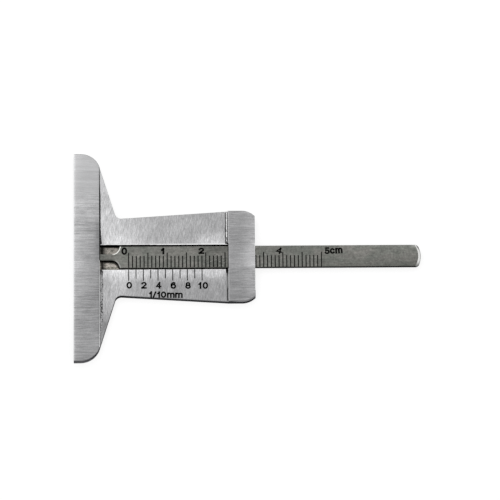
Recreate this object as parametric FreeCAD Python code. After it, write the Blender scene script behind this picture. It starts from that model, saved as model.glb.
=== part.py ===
import FreeCAD, Part
import math
import os

from FreeCAD import Vector

# A pocket gauge for the depth of tyre tread: a flat T-shaped steel frame whose foot is laid across the
# tread, and a graduated rule that slides in the frame's channel and reaches down into the groove.
# Millimetres. X = 0 is the measuring face and +X runs to the rule's domed end, Y runs along the foot,
# and Z = 0 is the flat back.

# Foot and flare
foot_length = 57.0
foot_width = 6.7
foot_corner_radius = 5.2
flare_angle = 17.0  # degrees between the flare and the measuring face

# Body
frame_length = 47.0
frame_thickness = 1.6
neck_distance = 11.05  # from the measuring face to where the flare meets the body
neck_width = 21.1
neck_radius = 1.7
body_width = 24.9
body_corner_radius = 4.7
body_corner_turn = 47.0  # degrees of arc before the corner meets the straight end
frame_deburr = 0.1

# Channel that guides the rule
channel_side_clearance = 0.35
channel_depth = 1.0
channel_bevel_width = 0.25  # along the channel's upper edges
channel_bevel_depth = 0.12

# Covers that bridge the channel
cover_thickness = 0.6
end_cover_width = 7.0
cover_deburr = 0.12

# Rule
rule_length = 90.0
rule_width = 6.0
rule_thickness = 0.9
rule_floor_clearance = 0.03
rule_deburr = 0.15
probe_width = 1.65
probe_length = 12.0  # to the sharp shoulders
notch_radius = 2.1  # where the probe widens towards the shoulders
probe_bevel_width = 0.3  # along the upper edges of the probe and its notches
probe_bevel_depth = 0.12
shoulder_angle = 68.0  # degrees between the shoulders' flanks and the rule's length
dome_radius = 6.0
dome_corner_radius = 1.1
bevel_width = 0.65
bevel_depth = 0.35

# Scales, cut as shallow grooves
scale_zero = 14.2  # from the measuring face, on the rule and on the frame alike
scale_millimetres = 50
groove_depth = 0.06
rule_mark_width = 0.28
rule_long_mark = 4.2
rule_short_mark = 3.3
marks_per_long_mark = 5
vernier_divisions = 10
vernier_pitch = 1.9
vernier_mark_width = 0.24
vernier_long_mark = 3.2
vernier_short_mark = 2.6

# Friction spring in its pocket
pocket_length = 5.0
pocket_depth = 0.5
spring_thickness = 0.15
spring_end_clearance = 0.2
spring_seat_clearance = 0.01
spring_height_clearance = 0.05

# Seams of filler metal
braze_width = 0.6
braze_height = 0.4
braze_hollow = 0.1  # how far its face sinks below a straight fillet
braze_end_margin = 0.4

# Values that follow from the dimensions above
foot_half = foot_length / 2
neck_half = neck_width / 2
body_half = body_width / 2
rule_half = rule_width / 2
probe_half = probe_width / 2
channel_half = rule_half + channel_side_clearance
channel_floor = frame_thickness - channel_depth
end_cover_start = frame_length - end_cover_width
cover_top = frame_thickness + cover_thickness
rule_bottom = channel_floor + rule_floor_clearance
rule_top = rule_bottom + rule_thickness
flare_slope = math.tan(math.radians(flare_angle))
flare_root_x = neck_distance - (foot_half - neck_half) * flare_slope
overcut = 1.0  # how far a cutting tool reaches past the surface that it opens


def box(low, high):
    size = high - low
    return Part.makeBox(size.x, size.y, size.z, low)


def on_circle(centre, radius, degrees):
    angle = math.radians(degrees)
    return centre + Vector(radius * math.cos(angle), radius * math.sin(angle), 0)


def arc_points(centre, radius, start, end):
    """Start, middle and end point of an arc between two angles in degrees."""
    return [on_circle(centre, radius, angle) for angle in (start, (start + end) / 2, end)]


def rounded_corner(before, corner, after, radius):
    """Start, middle and end point of the arc that rounds a corner between two straight runs."""
    back = (before - corner).normalize()
    ahead = (after - corner).normalize()
    half_angle = back.getAngle(ahead) / 2
    reach = radius / math.tan(half_angle)
    bisector = (back + ahead).normalize()
    middle = corner + bisector * (radius / math.sin(half_angle) - radius)
    return [corner + back * reach, middle, corner + ahead * reach]


def edge_through(points):
    if len(points) == 2:
        return Part.makeLine(*points)
    return Part.Arc(*points).toShape()


def mirrored(points):
    return [Vector(point.x, -point.y, point.z) for point in points]


def symmetric_face(left_end, upper_runs, right_end):
    """A face mirrored about the X axis. Each run has two points for a line or three for an arc."""
    runs = upper_runs + [mirrored(run) for run in upper_runs]
    runs += [[end, mirrored([end])[0]] for end in (left_end, right_end) if end.y > 0]
    edges = [edge_through(run) for run in runs]
    return Part.Face(Part.Wire(Part.__sortEdges__(edges)))


def frame_face():
    """The T-shaped outline that the frame and both covers share."""
    body_corner_start = frame_length - body_corner_radius * math.sin(math.radians(body_corner_turn))
    body_corner = Vector(body_corner_start, body_half - body_corner_radius, 0)
    body_arc = arc_points(body_corner, body_corner_radius, 90, 90 - body_corner_turn)
    measuring_corner = Vector(0, foot_half, 0)
    flare_root = Vector(flare_root_x, foot_half, 0)
    neck = Vector(neck_distance, neck_half, 0)
    widest = Vector(end_cover_start, body_half, 0)
    foot_arc = rounded_corner(measuring_corner, flare_root, neck, foot_corner_radius)
    neck_arc = rounded_corner(flare_root, neck, widest, neck_radius)
    upper_runs = [
        [measuring_corner, foot_arc[0]],
        foot_arc,
        [foot_arc[-1], neck_arc[0]],
        neck_arc,
        [neck_arc[-1], widest],
        [widest, body_arc[0]],
        body_arc,
    ]
    return symmetric_face(measuring_corner, upper_runs, body_arc[-1])


def rule_face():
    """The rule's outline: probe, round notches with sloping flanks, straight sides and a domed end."""
    shoulder = Vector(probe_length, rule_half, 0)
    flank_run = (rule_half - probe_half) / math.tan(math.radians(shoulder_angle))
    probe_root = Vector(probe_length - flank_run, probe_half, 0)
    dome_centre = Vector(rule_length - dome_radius, 0, 0)
    corner_y = rule_half - dome_corner_radius
    corner_x = math.sqrt((dome_radius - dome_corner_radius) ** 2 - corner_y**2)
    corner_centre = dome_centre + Vector(corner_x, corner_y, 0)
    dome_start = math.degrees(math.atan2(corner_y, corner_x))
    corner_arc = arc_points(corner_centre, dome_corner_radius, 90, dome_start)
    tip_corner = Vector(0, probe_half, 0)
    notch_arc = rounded_corner(tip_corner, probe_root, shoulder, notch_radius)
    crown = dome_centre + Vector(dome_radius, 0, 0)
    upper_runs = [
        [tip_corner, notch_arc[0]],
        notch_arc,
        [notch_arc[-1], shoulder],
        [shoulder, corner_arc[0]],
        corner_arc,
        [corner_arc[-1], on_circle(dome_centre, dome_radius, dome_start / 2), crown],
    ]
    return symmetric_face(tip_corner, upper_runs, crown)


def raised(face, bottom, top):
    """A prism on the face between two heights."""
    face.translate(Vector(0, 0, bottom))
    return face.extrude(Vector(0, 0, top - bottom))


def edges_at_height(shape, height, keep):
    """Edges that lie flat at a height and whose middle point passes the test."""
    found = []
    for edge in shape.Edges:
        middle = edge.valueAt((edge.FirstParameter + edge.LastParameter) / 2)
        heights = [abs(vertex.Z - height) for vertex in edge.Vertexes] + [abs(middle.z - height)]
        if max(heights) < 1e-6 and keep(middle):
            found.append(edge)
    return found


def anywhere(point):
    return True


def behind_measuring_face(point):
    return point.x > 1e-6


def on_probe_side(point):
    return point.x < probe_length + probe_bevel_width and abs(point.y) > 1e-6


def off_probe_side(point):
    return not on_probe_side(point)


def channel_bevels():
    """The cutting tools for the flat bevels along the channel's upper edges."""
    slope = channel_bevel_depth / channel_bevel_width
    inner = channel_half - overcut
    outer = channel_half + channel_bevel_width + overcut
    top = frame_thickness + overcut * slope
    low = frame_thickness - channel_bevel_depth - overcut * slope
    corners = [Vector(-overcut, y, z) for y, z in ((inner, low), (outer, top), (inner, top))]
    length = Vector(frame_length + 2 * overcut, 0, 0)
    sections = [Part.Face(Part.makePolygon(run + run[:1])) for run in (corners, mirrored(corners))]
    return [section.extrude(length) for section in sections]


def groove(x, width, near_y, far_y, surface):
    """The cutting tool for one graduation, centred on x."""
    low = Vector(x - width / 2, min(near_y, far_y), surface - groove_depth)
    high = Vector(x + width / 2, max(near_y, far_y), surface + overcut)
    return box(low, high)


def vernier_grooves():
    tools = []
    for division in range(vernier_divisions + 1):
        length = vernier_short_mark if division % 2 else vernier_long_mark
        x = scale_zero + division * vernier_pitch
        near_y = overcut - channel_half
        far_y = -channel_half - length
        tools.append(groove(x, vernier_mark_width, near_y, far_y, frame_thickness))
    return tools


def rule_grooves():
    tools = []
    for millimetre in range(scale_millimetres + 1):
        length = rule_short_mark if millimetre % marks_per_long_mark else rule_long_mark
        x = scale_zero + millimetre
        near_y = -rule_half - overcut
        tools.append(groove(x, rule_mark_width, near_y, length - rule_half, rule_top))
    return tools


def spring_pocket():
    middle = end_cover_start + end_cover_width / 2
    low = Vector(middle - pocket_length / 2, channel_half - overcut, channel_floor)
    high = Vector(middle + pocket_length / 2, channel_half + pocket_depth, frame_thickness + overcut)
    return box(low, high)


def frame():
    """The one-piece frame: outline, deburred edges, channel, spring pocket and vernier scale."""
    solid = raised(frame_face(), 0, frame_thickness)
    rims = edges_at_height(solid, 0, behind_measuring_face)
    rims += edges_at_height(solid, frame_thickness, behind_measuring_face)
    solid = solid.makeChamfer(frame_deburr, rims)
    channel = box(
        Vector(-overcut, -channel_half, channel_floor),
        Vector(frame_length + overcut, channel_half, frame_thickness + overcut),
    )
    return solid.cut([channel, spring_pocket()] + channel_bevels() + vernier_grooves())


def cover(start, end):
    """A flat bridge with the frame's outline between two X positions, deburred round its upper edge."""
    solid = raised(frame_face(), frame_thickness, cover_top)
    window = box(
        Vector(start, -foot_length, frame_thickness - overcut),
        Vector(end, foot_length, cover_top + overcut),
    )
    solid = solid.common(window)
    return solid.makeChamfer(cover_deburr, edges_at_height(solid, cover_top, anywhere))


def foot_cover():
    return cover(0, foot_width)


def end_cover():
    return cover(end_cover_start, frame_length)


def end_bevel():
    """The cutting tool for the bevel round the domed end, a ring turned about the dome's centre."""
    inner = dome_radius - bevel_width
    outer = dome_radius + overcut
    drop = bevel_depth * (outer - inner) / bevel_width
    centre = Vector(rule_length - dome_radius, 0, rule_top)
    profile = [(inner, overcut), (inner, 0), (outer, -drop), (outer, overcut)]
    corners = [centre + Vector(radius, 0, height) for radius, height in profile]
    section = Part.Face(Part.makePolygon(corners + corners[:1]))
    section.rotate(centre, Vector(0, 0, 1), -90)
    return section.revolve(centre, Vector(0, 0, 1), 180)


def depth_rule():
    solid = raised(rule_face(), rule_bottom, rule_top)
    probe_rims = edges_at_height(solid, rule_top, on_probe_side)
    solid = solid.makeChamfer(probe_bevel_depth, probe_bevel_width, probe_rims)
    rims = edges_at_height(solid, rule_bottom, anywhere)
    rims += edges_at_height(solid, rule_top, off_probe_side)
    solid = solid.makeChamfer(rule_deburr, rims)
    return solid.cut([end_bevel()] + rule_grooves())


def friction_spring():
    """A leaf bowed towards the rule: its crown nearly touches the rule and its ends meet the pocket."""
    middle = end_cover_start + end_cover_width / 2
    half_span = pocket_length / 2 - spring_end_clearance
    crown = rule_half + spring_seat_clearance + spring_thickness
    seat = channel_half + pocket_depth - spring_seat_clearance
    rise = seat - crown
    back_radius = (half_span**2 + rise**2) / (2 * rise)
    centre = Vector(middle, crown + back_radius, 0)
    half_turn = math.degrees(math.asin(half_span / back_radius))
    back = arc_points(centre, back_radius, -90 - half_turn, -90 + half_turn)
    front = arc_points(centre, back_radius + spring_thickness, -90 + half_turn, -90 - half_turn)
    runs = [back, [back[-1], front[0]], front, [front[-1], back[0]]]
    leaf = Part.Face(Part.Wire([edge_through(run) for run in runs]))
    bottom = channel_floor + spring_height_clearance
    return raised(leaf, bottom, frame_thickness - spring_height_clearance)


def braze_run(cover_edge, towards, outer_y):
    """A hollow fillet of filler metal on one cheek, from the channel out to outer_y."""
    corner = Vector(cover_edge, channel_half + braze_end_margin, frame_thickness)
    toe = corner + Vector(towards * braze_width, 0, 0)
    top = corner + Vector(0, 0, braze_height)
    inward = Vector(-towards * braze_height, 0, -braze_width).normalize()
    hollow = (toe + top) / 2 + inward * braze_hollow
    runs = [[corner, toe], [toe, hollow, top], [top, corner]]
    section = Part.Face(Part.Wire([edge_through(run) for run in runs]))
    return section.extrude(Vector(0, outer_y - braze_end_margin - corner.y, 0))


def on_both_cheeks(solid):
    return Part.makeCompound([solid, solid.mirror(Vector(0, 0, 0), Vector(0, 1, 0))])


def foot_braze():
    flare_y = neck_half + (neck_distance - foot_width - braze_width) / flare_slope
    return on_both_cheeks(braze_run(foot_width, 1, flare_y))


def end_braze():
    taper = (body_half - neck_half) / (end_cover_start - neck_distance)
    return on_both_cheeks(braze_run(end_cover_start, -1, body_half - taper * braze_width))


sub_parts = {
    "frame": frame,
    "foot_cover": foot_cover,
    "end_cover": end_cover,
    "depth_rule": depth_rule,
    "friction_spring": friction_spring,
    "foot_braze": foot_braze,
    "end_braze": end_braze,
}

os.makedirs("parts", exist_ok=True)
for name, make in sub_parts.items():
    shape = make()
    shape.exportStep(f"parts/{name}.step")
    print(name, len(shape.Solids), "solid", round(shape.Volume, 2), "mm3", shape.isValid())
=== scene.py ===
import math

import bpy
from mathutils import Matrix, Vector, noise

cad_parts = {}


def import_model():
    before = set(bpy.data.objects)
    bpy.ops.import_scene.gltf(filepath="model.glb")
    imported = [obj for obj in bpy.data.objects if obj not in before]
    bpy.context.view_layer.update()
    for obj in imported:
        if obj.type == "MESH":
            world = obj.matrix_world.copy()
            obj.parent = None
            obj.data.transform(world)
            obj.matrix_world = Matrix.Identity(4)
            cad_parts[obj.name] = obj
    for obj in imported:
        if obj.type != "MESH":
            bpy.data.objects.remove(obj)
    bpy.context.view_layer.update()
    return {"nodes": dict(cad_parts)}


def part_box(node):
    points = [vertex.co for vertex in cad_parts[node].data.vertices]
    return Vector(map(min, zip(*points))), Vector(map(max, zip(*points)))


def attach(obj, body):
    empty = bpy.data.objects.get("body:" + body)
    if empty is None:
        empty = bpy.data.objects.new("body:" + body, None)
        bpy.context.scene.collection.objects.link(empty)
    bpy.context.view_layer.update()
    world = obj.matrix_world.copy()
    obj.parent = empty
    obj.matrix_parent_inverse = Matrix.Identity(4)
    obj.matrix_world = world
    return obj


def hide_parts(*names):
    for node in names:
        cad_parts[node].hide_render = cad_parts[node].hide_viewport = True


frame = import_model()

MM = 0.001

# Sizes of the solids that the looks refer to, in metres
CHANNEL_HALF = 3.35 * MM
CHANNEL_BEVEL = 0.25 * MM
CHANNEL_BEVEL_DEPTH = 0.12 * MM
SCALE_ZERO = 14.2 * MM
SCALE_MARKS = 50
RULE_LONG_EVERY = 5
MARK_DEPTH = 0.06 * MM
RULE_MARK_START = 0.11 * MM  # from the rule's edge
RULE_MARK_WIDTH = 0.28 * MM
RULE_LONG_MARK = 4.2 * MM
RULE_SHORT_MARK = 3.3 * MM
VERNIER_DIVISIONS = 10
VERNIER_LONG_EVERY = 2
VERNIER_PITCH = 1.9 * MM
VERNIER_MARK_WIDTH = 0.24 * MM
VERNIER_LONG_MARK = 3.2 * MM
VERNIER_SHORT_MARK = 2.6 * MM
PROBE_ROOT = 9.6 * MM  # where the probe starts to widen
PROBE_HALF = 0.825 * MM
FLARE_SLOPE = math.tan(math.radians(17.0))
NECK_X = 11.05 * MM
NECK_HALF = 10.55 * MM

FRAME_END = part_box("frame")[1].x
CHEEK_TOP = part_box("frame")[1].z
COVER_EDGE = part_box("foot_cover")[1].x
END_COVER_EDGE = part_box("end_cover")[0].x
END_COVER_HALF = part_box("end_cover")[1].y
RULE_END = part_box("depth_rule")[1].x
RULE_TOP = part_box("depth_rule")[1].z
RULE_HALF = 3.0 * MM


def grey(level):
    """The linear value of a screen grey from 0 to 255."""
    c = level / 255
    return c / 12.92 if c <= 0.04045 else ((c + 0.055) / 1.055) ** 2.4


def tint(red, green, blue):
    return (grey(red), grey(green), grey(blue), 1)


# Cut sides, walls and lower bevels of the plates, in painted shade
FRAME_SIDE = tint(118, 118, 120)
COVER_SIDE = tint(128, 128, 130)
SIDE_AT_BACK = tint(186, 186, 188)
BODY_SIDE = tint(92, 92, 94)
NECK_SIDE = tint(60, 60, 62)
END_COVER_SIDE = tint(182, 182, 184)
END_FACE = tint(112, 112, 114)
SHADED_END_FACE = tint(56, 56, 58)
SHADED_LOWER_BEVEL = tint(128, 128, 130)
COVER_WALL_SHADE = tint(26, 26, 27)
CHANNEL_WALL_SHADE = tint(16, 16, 16)

# Faces of the plates, lit towards +Y and in painted shade towards -Y, and the painted highlights and
# shade of their bevels
FOOT_LIT, FOOT_SHADED = tint(158, 158, 159), tint(149, 149, 150)
FOOT_STAIN = tint(90, 90, 92)
FOOT_RIM_SHADE, FOOT_RIM_HIGHLIGHT = tint(22, 22, 23), tint(240, 240, 240)
END_LIT, END_SHADED = tint(149, 149, 150), tint(141, 141, 142)
END_FREE_RIM_HIGHLIGHT = tint(235, 235, 235)
END_RIM_SHADE_OVER_RULE, END_RIM = tint(20, 20, 20), tint(205, 205, 206)
CHEEK_LIT, CHEEK_SHADED = tint(163, 163, 164), tint(153, 153, 154)
CHANNEL_EDGE_HIGHLIGHT_UPPER, CHANNEL_EDGE_HIGHLIGHT_LOWER = tint(240, 240, 240), tint(226, 226, 225)

# Channel floor, and its painted shadow
FLOOR_GREENISH, FLOOR_PINKISH = tint(104, 104, 97), tint(172, 166, 159)
FLOOR_PIT = tint(40, 38, 34)
FLOOR_TRACE = tint(62, 64, 54)
FLOOR_SHADOW = tint(14, 14, 13)
CHANNEL_BEVEL_SHADE = tint(24, 24, 23)

# Rule, with painted shade on its sides and lower edge and painted highlights on its bevels
RULE_COOL, RULE_WARM = tint(113, 115, 110), tint(117, 116, 112)
RULE_SCRATCH = tint(176, 176, 172)
RULE_LIT_CORNER = tint(200, 200, 198)
RULE_LOWER_EDGE_SHADE = tint(52, 52, 50)
RULE_SIDE_SHADE_IN_CHANNEL, RULE_SIDE = tint(14, 14, 13), tint(40, 40, 39)
NOTCH_HIGHLIGHT_UPPER, NOTCH_HIGHLIGHT_LOWER = tint(206, 206, 202), tint(158, 158, 155)
DOME_BEVEL, DOME_BEVEL_SHADE = tint(226, 226, 224), tint(128, 128, 126)
DOME_RIM_SHADE = tint(112, 112, 110)

# Ink and filler metal, with painted shade in the seams' dark lines, partly dark joints, and corners, and
# a painted highlight on the ridge
INK, WORN_INK = tint(14, 14, 13), tint(46, 46, 43)
GAP_SHADE, CREVICE_SPARK = tint(52, 52, 53), tint(170, 170, 170)
DULL_FILLER, FILLER_BLOT = tint(158, 158, 159), tint(96, 96, 97)
FILLER_PIT_AND_SHADE = tint(24, 24, 24)
FOOT_SEAM_CORNER_SHADE = tint(52, 52, 51)
RIDGE_SIDE, RIDGE_SIDE_SPOT = tint(52, 52, 52), tint(150, 150, 150)
RIDGE_FOOT = tint(162, 162, 163)
RIDGE = tint(246, 246, 246)
SEAM_LINE, FADED_LINE = tint(46, 46, 46), tint(150, 150, 150)
BESIDE_LINE, BEHIND_LINE = tint(150, 150, 151), tint(170, 170, 171)

BRONZE = tint(205, 170, 120)

# How much reflection is left at a shallow angle, on cut sides and on flat faces
SIDE_GRAZING = 0.1
FACE_GRAZING = 0.55
FLAT_FACE = (0.975, 0.99)  # how upright a flat face's normal is

SCRATCH_DEPTH = 0.005 * MM
RULE_SCRATCH_DEPTH = 0.004 * MM
FINE_DEPTH = 0.002 * MM
SEAM_LUMP_DEPTH = 0.02 * MM

# Radii by which edges catch light as if rounded
PLATE_ROUNDING = 0.05 * MM
RULE_ROUNDING = 0.04 * MM
SEAM_ROUNDING = 0.04 * MM
SPRING_ROUNDING = 0.03 * MM
INK_ROUNDING = 0.12 * MM
ROUNDING_SAMPLES = 4

INK_SPECULAR = 0.15
SHIFT_WAYS = (1, 0.7, 1.3)  # how far a noise moves along X, Y and Z for each unit of its shift
MIX_INPUTS, MIX_RESULT = (0, 6, 7), 2  # a mix node's sockets for colours


class Surface:
    """A node material with short calls for the nodes that the metals share."""

    def __init__(self, name):
        self.material = bpy.data.materials.new(name)
        self.material.use_nodes = True
        self.tree = self.material.node_tree
        self.shader = self.tree.nodes["Principled BSDF"]
        self.place = self.node("ShaderNodeTexCoord").outputs["Object"]
        split = self.node("ShaderNodeSeparateXYZ", Vector=self.place)
        self.x, self.y, self.z = split.outputs
        facing = self.node("ShaderNodeNewGeometry").outputs["True Normal"]
        facing = self.node("ShaderNodeSeparateXYZ", Vector=facing)
        self.nx, self.ny, self.nz = facing.outputs

    def node(self, kind, settings=None, **inputs):
        made = self.tree.nodes.new(kind)
        for key, value in (settings or {}).items():
            setattr(made, key, value)
        for key, value in inputs.items():
            self.feed(made.inputs[key.replace("_", " ")], value)
        return made

    def feed(self, socket, value):
        if isinstance(value, bpy.types.NodeSocket):
            self.tree.links.new(value, socket)
        elif socket.type == "VECTOR":
            socket.default_value = value[:3]
        else:
            socket.default_value = value

    def maths(self, operation, *values):
        made = self.tree.nodes.new("ShaderNodeMath")
        made.operation = operation
        for socket, value in zip(made.inputs, values):
            self.feed(socket, value)
        return made.outputs[0]

    def fold(self, operation, first, others):
        for other in others:
            first = self.maths(operation, first, other)
        return first

    def times(self, first, *others):
        return self.fold("MULTIPLY", first, others)

    def plus(self, first, *others):
        return self.fold("ADD", first, others)

    def most(self, first, *others):
        """The largest of the values."""
        return self.fold("MAXIMUM", first, others)

    def minus(self, first, second):
        return self.maths("SUBTRACT", first, second)

    def rest(self, value):
        """One less the value."""
        return self.minus(1.0, value)

    def size(self, value):
        """The value without its sign."""
        return self.maths("ABSOLUTE", value)

    def uneven(self, value, grain, reach):
        """The value, moved to and fro by noise round a half."""
        return self.maths("MULTIPLY_ADD", self.minus(grain, 0.5), reach, value)

    def wave(self, grain, strength):
        """One plus or minus a share, from noise round a half."""
        return self.uneven(1.0, grain, 2 * strength)

    def step(self, value, low, high, start=0.0, end=1.0):
        """Runs smoothly from start to end while value runs from low to high."""
        made = self.tree.nodes.new("ShaderNodeMapRange")
        made.interpolation_type = "SMOOTHSTEP"
        numbers = {"Value": value, "From Min": low, "From Max": high, "To Min": start, "To Max": end}
        for key, number in numbers.items():
            self.feed(made.inputs[key], number)
        return made.outputs["Result"]

    def band(self, value, low, high, soft):
        """One between low and high, nothing beyond, with soft ends."""
        rise = self.step(value, low - soft, low + soft)
        fall = self.step(value, high - soft, high + soft, 1.0, 0.0)
        return self.times(rise, fall)

    def by_side(self, lower, upper):
        """One value on the lower side of the channel and another on the upper."""
        return self.step(self.y, -MM, MM, lower, upper)

    def grain(self, size, detail=3, turn=0.0, shift=0.0, rough=0.55):
        """Noise whose blobs measure about size along X, Y and Z in millimetres, turned about Z by an
        angle in degrees."""
        mapping = self.node(
            "ShaderNodeMapping",
            {"vector_type": "TEXTURE"},
            Vector=self.place,
            Location=[shift * way for way in SHIFT_WAYS],
            Rotation=(0, 0, math.radians(turn)),
            Scale=[length * MM for length in size],
        )
        made = self.node(
            "ShaderNodeTexNoise",
            Vector=mapping.outputs[0],
            Scale=1.0,
            Detail=detail,
            Roughness=rough,
        )
        return made.outputs[0]

    def mix(self, share, first, second):
        made = self.tree.nodes.new("ShaderNodeMix")
        made.data_type = "RGBA"
        for index, value in zip(MIX_INPUTS, (share, first, second)):
            self.feed(made.inputs[index], value)
        return made.outputs[MIX_RESULT]

    def shade(self, colour, factor):
        """The colour times a factor."""
        made = self.node("ShaderNodeVectorMath", {"operation": "SCALE"}, Scale=factor)
        self.feed(made.inputs[0], colour)
        return made.outputs[0]

    def finish(self, colour, roughness, height, depth, rounding, metallic=1.0):
        """Feeds the shader. Only metals reflect more at a shallow angle on flat faces."""
        sides, faces = [(level, level, level, 1) for level in (SIDE_GRAZING, FACE_GRAZING)]
        self.shader.inputs["Specular Tint"].default_value = sides
        if metallic:
            flat = self.step(self.size(self.nz), *FLAT_FACE)
            self.feed(self.shader.inputs["Specular Tint"], self.mix(flat, sides, faces))
        rounded = self.node("ShaderNodeBevel", {"samples": ROUNDING_SAMPLES}, Radius=rounding)
        bump = self.node("ShaderNodeBump", Strength=1.0, Distance=depth, Height=height)
        self.feed(bump.inputs["Normal"], rounded.outputs[0])
        self.feed(self.shader.inputs["Normal"], bump.outputs[0])
        self.feed(self.shader.inputs["Base Color"], colour)
        self.feed(self.shader.inputs["Roughness"], roughness)
        self.shader.inputs["Metallic"].default_value = metallic
        return self.material


def upright(s):
    """One on the faces that stand upright."""
    return s.step(s.size(s.nz), 0.35, 0.2)


def downhill(s):
    """One on the bevels that fall away towards -Y along an outer edge."""
    steep = s.times(s.step(s.nz, 0.85, 0.75), s.step(s.nz, 0.2, 0.35))
    return s.times(steep, s.step(s.ny, -0.25, -0.5))


def cover_bevel(s):
    """One on the bevels round the covers' faces."""
    return s.band(s.nz, 0.5, 0.85, 0.05)


def sheared_side(s):
    """The cut sides of the plates, in painted shade: scuffed, dark along the body, darkest at its neck,
    paler at the foot and on the end cover, and shaded more on ends turned to -Y."""
    on_cover = s.step(s.z, CHEEK_TOP - 0.05 * MM, CHEEK_TOP + 0.05 * MM)
    foot = s.mix(on_cover, FRAME_SIDE, COVER_SIDE)
    foot = s.mix(s.step(s.z, 0.9 * MM, 0.1 * MM), foot, SIDE_AT_BACK)
    neck = s.band(s.x, 10.5 * MM, 15 * MM, 1.5 * MM)
    body = s.mix(neck, BODY_SIDE, NECK_SIDE)
    along = s.mix(s.step(s.x, 8 * MM, 10 * MM), foot, body)
    end_cover = s.times(on_cover, s.step(s.x, 40.5 * MM, 43 * MM))
    along = s.mix(end_cover, along, END_COVER_SIDE)
    # Painted shade: ends turned to -Y take the darker copy.
    ends = s.mix(s.step(s.ny, 0.0, -0.2), END_FACE, SHADED_END_FACE)
    tone = s.mix(s.step(s.size(s.ny), 0.25, 0.6), ends, along)
    scuffed = s.grain((0.5, 0.5, 0.3), shift=0.8)
    return s.shade(tone, s.wave(scuffed, 0.3))


def brushed(s, seed):
    """Brushing along X: short fine scratches, longer streaks, broad bands and a fine unevenness."""
    fine = s.grain((2.8, 0.12, 2), detail=2, turn=-0.5, shift=seed, rough=0.6)
    streaks = s.grain((14, 0.15, 3), detail=2, turn=0.4, shift=seed + 0.4)
    broad = s.grain((14, 1.8, 5), detail=2, turn=-2, shift=seed + 0.6)
    cloud = s.grain((5, 5, 5), detail=2, shift=seed + 0.9)
    dust = s.grain((0.35, 0.2, 1), detail=2, shift=seed + 1.2)
    factor = s.times(s.wave(fine, 0.65), s.wave(streaks, 0.5))
    factor = s.times(factor, s.times(s.wave(broad, 0.2), s.wave(cloud, 0.2)))
    return s.times(factor, s.wave(dust, 0.32)), fine, streaks


def finish_cover(s, colour, fine, streaks, inward):
    """Adds a cover's lower bevel, its sides and its dark inner wall, all in painted shade, and its
    shine.
    Inward is 1 or -1, the way along X from the cover's middle to its inner wall."""
    # Painted shade on the lower bevel.
    colour = s.mix(downhill(s), colour, SHADED_LOWER_BEVEL)
    # Painted shade on the inner wall.
    inner_wall = s.step(s.nx, 0.5 * inward, 0.7 * inward)
    colour = s.mix(upright(s), colour, s.mix(inner_wall, sheared_side(s), COVER_WALL_SHADE))
    roughness = s.step(fine, 0.2, 0.8, 0.3, 0.42)
    return s.finish(colour, roughness, s.plus(fine, streaks), SCRATCH_DEPTH, PLATE_ROUNDING)


def foot_steel():
    """The foot's cover: brushed along X, with a painted highlight at the measuring edge and a painted
    slope of light across it, dull beside the cheeks.
    """
    s = Surface("foot_steel")
    factor, fine, streaks = brushed(s, 0.0)
    calm = s.step(s.y, 13 * MM, 21 * MM, 0.0, 0.6)
    factor = s.maths("MULTIPLY_ADD", s.rest(factor), calm, factor)
    # Painted highlight along the measuring edge, painted light near it, and a painted slope of light
    # across the cover.
    rim = s.step(s.x, 0.5 * MM, 0.1 * MM, 0.0, 0.55)
    glow = s.step(s.x, 2.6 * MM, 0.0, 0.0, 0.14)
    middle = s.band(s.y, -14 * MM, 12 * MM, 5 * MM)
    light_slope = s.times(s.step(s.x, 0.0, COVER_EDGE, 0.12, -0.16), middle)
    factor = s.times(factor, s.plus(s.plus(rim, glow), s.plus(light_slope, 1.0)))
    # Painted light and shade: lighter towards +Y, darker towards -Y.
    low = s.step(s.y, 22 * MM, -22 * MM)
    colour = s.shade(s.mix(low, FOOT_LIT, FOOT_SHADED), factor)

    inland = s.minus(COVER_EDGE, s.x)
    dull = s.times(s.step(inland, 0.7 * MM, 0.15 * MM), s.by_side(0.3, 0.1))
    blot = s.grain((0.8, 1.4, 1), shift=0.3)
    handled = s.times(s.band(s.y, -MM, 9.5 * MM, 2.5 * MM), s.step(blot, 0.3, 0.6, 0.2, 0.45))
    stained = s.times(s.step(inland, 1.8 * MM, 0.3 * MM), handled)
    colour = s.mix(s.most(dull, stained), colour, FOOT_STAIN)

    # Painted shade on the inner bevel's upper part and a painted highlight on its lower part.
    rim_at_cheeks = s.times(s.step(s.nx, 0.66, 0.69), cover_bevel(s))
    lit_rim_part = s.step(s.y, -0.9 * MM, -1.2 * MM)
    colour = s.mix(rim_at_cheeks, colour, s.mix(lit_rim_part, FOOT_RIM_SHADE, FOOT_RIM_HIGHLIGHT))
    return finish_cover(s, colour, fine, streaks, 1)


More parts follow.
